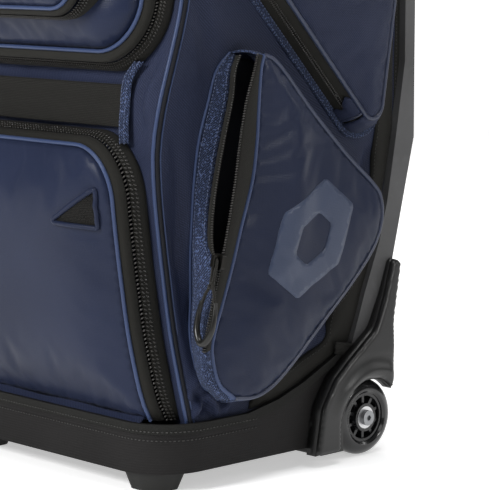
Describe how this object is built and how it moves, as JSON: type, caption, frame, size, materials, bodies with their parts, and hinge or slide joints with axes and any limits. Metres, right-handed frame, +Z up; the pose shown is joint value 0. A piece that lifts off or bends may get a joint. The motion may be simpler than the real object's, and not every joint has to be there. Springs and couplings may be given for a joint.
{
  "type": "wheeled equipment bag",
  "caption": "Upright soft equipment bag on two rear wheels and front feet, with zipped front doors, open side pockets and a telescoping tow handle.",
  "frame": {"origin": "on the ground, under the middle of the bag", "axes": "+X to the bag's right side as it is seen from the front, -Y to the front with the doors, +Y to the back with the handle, +Z up"},
  "size_m": [0.43, 0.392, 0.915],
  "materials": {
    "tub_plastic": "moulded shell with a fine woven texture",
    "binding_tape": "ribbed binding tape",
    "board_plastic": "plain sheet",
    "foot_rubber": "matte moulded rubber",
    "screw_steel": "zinc plated",
    "housing_plastic": "matte moulded nylon",
    "tyre_urethane": "glossy black urethane",
    "hub_plastic": "glossy black nylon",
    "bearing_steel": "ground steel",
    "spacer_aluminium": "turned",
    "bolt_steel": "bright socket head",
    "back_plastic": "grained moulded sheet",
    "frame_plastic": "charcoal, fine grain",
    "tube_aluminium": "drawn tube",
    "tube_black": "black anodised tube",
    "grip_rubber": "soft matte grip",
    "button_plastic": "smooth moulded button",
    "navy_nylon": "navy woven nylon with a fine twill",
    "navy_coated": "navy coated fabric, soft sheen",
    "black_band": "charcoal woven band",
    "denim_gusset": "slate-blue textured weave",
    "webbing": "warm charcoal webbing",
    "lining": "plain lining",
    "slider_metal": "black painted zinc",
    "cord_black": "braided cord",
    "pull_rubber": "moulded rubber",
    "piping_blue": "blue piping",
    "zip_coil": "nylon zip coil",
    "mesh_black": "open mesh",
    "print_slate": "glossy slate-blue print"
  },
  "bodies": {
    "bag": {"axle_bolts": "bolt_steel", "axle_nuts": "screw_steel", "back_panel": "back_plastic", "back_rail_left": "frame_plastic", "back_rail_right": "frame_plastic", "base_binding": "binding_tape", "base_board": "board_plastic", "base_screws": "screw_steel", "base_tub": "tub_plastic", "divider_shelf": "lining", "front_foot_left": "foot_rubber", "front_foot_right": "foot_rubber", "front_panel": "navy_nylon", "front_webbing": "webbing", "handle_bezel": "frame_plastic", "handle_bracket": "frame_plastic", "lower_door_band": "black_band", "outer_tube_left": "tube_aluminium", "outer_tube_right": "tube_aluminium", "side_gusset_left": "denim_gusset", "side_gusset_right": "denim_gusset", "side_panel_left": "navy_nylon", "side_panel_right": "navy_nylon", "side_pocket_left": "navy_coated", "side_pocket_right": "navy_coated", "top_grab_handle": "webbing", "top_panel": "navy_nylon", "upper_door_band": "black_band", "upper_pocket_left": "navy_coated", "upper_pocket_right": "navy_coated", "wheel_housing_left": "housing_plastic", "wheel_housing_right": "housing_plastic"},
    "wheel_left": {"tyre_left": "tyre_urethane", "hub_left": "hub_plastic", "bearings_left": "bearing_steel", "bearing_spacer_left": "spacer_aluminium"},
    "side_slider_left": {"side_slider_left": "slider_metal"},
    "side_pull_left": {"pull_cord_left": "cord_black", "pull_grip_left": "pull_rubber"},
    "upper_pocket_slider_left": {"upper_pocket_slider_left": "slider_metal"},
    "wheel_right": {"tyre_right": "tyre_urethane", "hub_right": "hub_plastic", "bearings_right": "bearing_steel", "bearing_spacer_right": "spacer_aluminium"},
    "side_slider_right": {"side_slider_right": "slider_metal"},
    "side_pull_right": {"pull_cord_right": "cord_black", "pull_grip_right": "pull_rubber"},
    "upper_pocket_slider_right": {"upper_pocket_slider_right": "slider_metal"},
    "handle": {"inner_tube_left": "tube_black", "inner_tube_right": "tube_black", "handle_grip": "grip_rubber"},
    "handle_button": {"release_button": "button_plastic"},
    "lower_door": {"lower_door": "navy_coated"},
    "upper_door": {"upper_door": "navy_coated", "accessory_pocket": "navy_coated"},
    "accessory_slider": {"accessory_slider": "slider_metal"},
    "lower_door_slider": {"lower_door_slider": "slider_metal"},
    "lower_door_pull": {"lower_door_pull": "pull_rubber"},
    "upper_door_slider": {"upper_door_slider": "slider_metal"},
    "upper_door_pull": {"upper_door_pull": "pull_rubber"}
  },
  "joints": [
    {"name": "wheel_spin_left", "type": "hinge", "parent": "bag", "child": "wheel_left", "pos_m": [-0.162, 0.125, 0.038], "axis": [1, 0, 0], "continuous": true},
    {"name": "side_zip_left", "type": "slide", "parent": "bag", "child": "side_slider_left", "axis": [0, 0.2266, 0.974], "range_m": [-0.06, 0.14]},
    {"name": "side_pull_swing_left", "type": "hinge", "parent": "side_slider_left", "child": "side_pull_left", "pos_m": [-0.206, -0.10802, 0.22087], "axis": [-1, 0, 0], "range_deg": [0, 150]},
    {"name": "upper_pocket_zip_left", "type": "slide", "parent": "bag", "child": "upper_pocket_slider_left", "axis": [0, 0, 1], "range_m": [-0.1, 0.06]},
    {"name": "wheel_spin_right", "type": "hinge", "parent": "bag", "child": "wheel_right", "pos_m": [0.162, 0.125, 0.038], "axis": [1, 0, 0], "continuous": true},
    {"name": "side_zip_right", "type": "slide", "parent": "bag", "child": "side_slider_right", "axis": [0, 0.2266, 0.974], "range_m": [-0.06, 0.14]},
    {"name": "side_pull_swing_right", "type": "hinge", "parent": "side_slider_right", "child": "side_pull_right", "pos_m": [0.206, -0.10802, 0.22087], "axis": [-1, 0, 0], "range_deg": [0, 150]},
    {"name": "upper_pocket_zip_right", "type": "slide", "parent": "bag", "child": "upper_pocket_slider_right", "axis": [0, 0, 1], "range_m": [-0.1, 0.06]},
    {"name": "handle_slide", "type": "slide", "parent": "bag", "child": "handle", "axis": [0, 0, 1], "range_m": [0, 0.25]},
    {"name": "button_press", "type": "slide", "parent": "handle", "child": "handle_button", "axis": [0, 0, -1], "range_m": [0, 0.004], "stiffness_N_per_m": 900},
    {"name": "lower_door_hinge", "type": "hinge", "parent": "bag", "child": "lower_door", "pos_m": [0, -0.131, 0.071], "axis": [1, 0, 0], "range_deg": [0, 85]},
    {"name": "upper_door_hinge", "type": "hinge", "parent": "bag", "child": "upper_door", "pos_m": [0, -0.108, 0.815], "axis": [-1, 0, 0], "range_deg": [0, 80]},
    {"name": "accessory_zip", "type": "slide", "parent": "upper_door", "child": "accessory_slider", "axis": [0, 0, 1], "range_m": [-0.07, 0.04]},
    {"name": "lower_door_zip", "type": "slide", "parent": "bag", "child": "lower_door_slider", "axis": [0, -0.1282, 0.9917], "range_m": [-0.05, 0.03]},
    {"name": "lower_door_pull_swing", "type": "hinge", "parent": "lower_door_slider", "child": "lower_door_pull", "pos_m": [-0.15325, -0.1435, 0.232], "axis": [0, 1, 0], "range_deg": [0, 120]},
    {"name": "upper_door_zip", "type": "slide", "parent": "bag", "child": "upper_door_slider", "axis": [0, 0, 1], "range_m": [-0.04, 0.1]},
    {"name": "upper_door_pull_swing", "type": "hinge", "parent": "upper_door_slider", "child": "upper_door_pull", "pos_m": [-0.15325, -0.10569, 0.61], "axis": [0, 1, 0], "range_deg": [0, 120]}
  ]
}
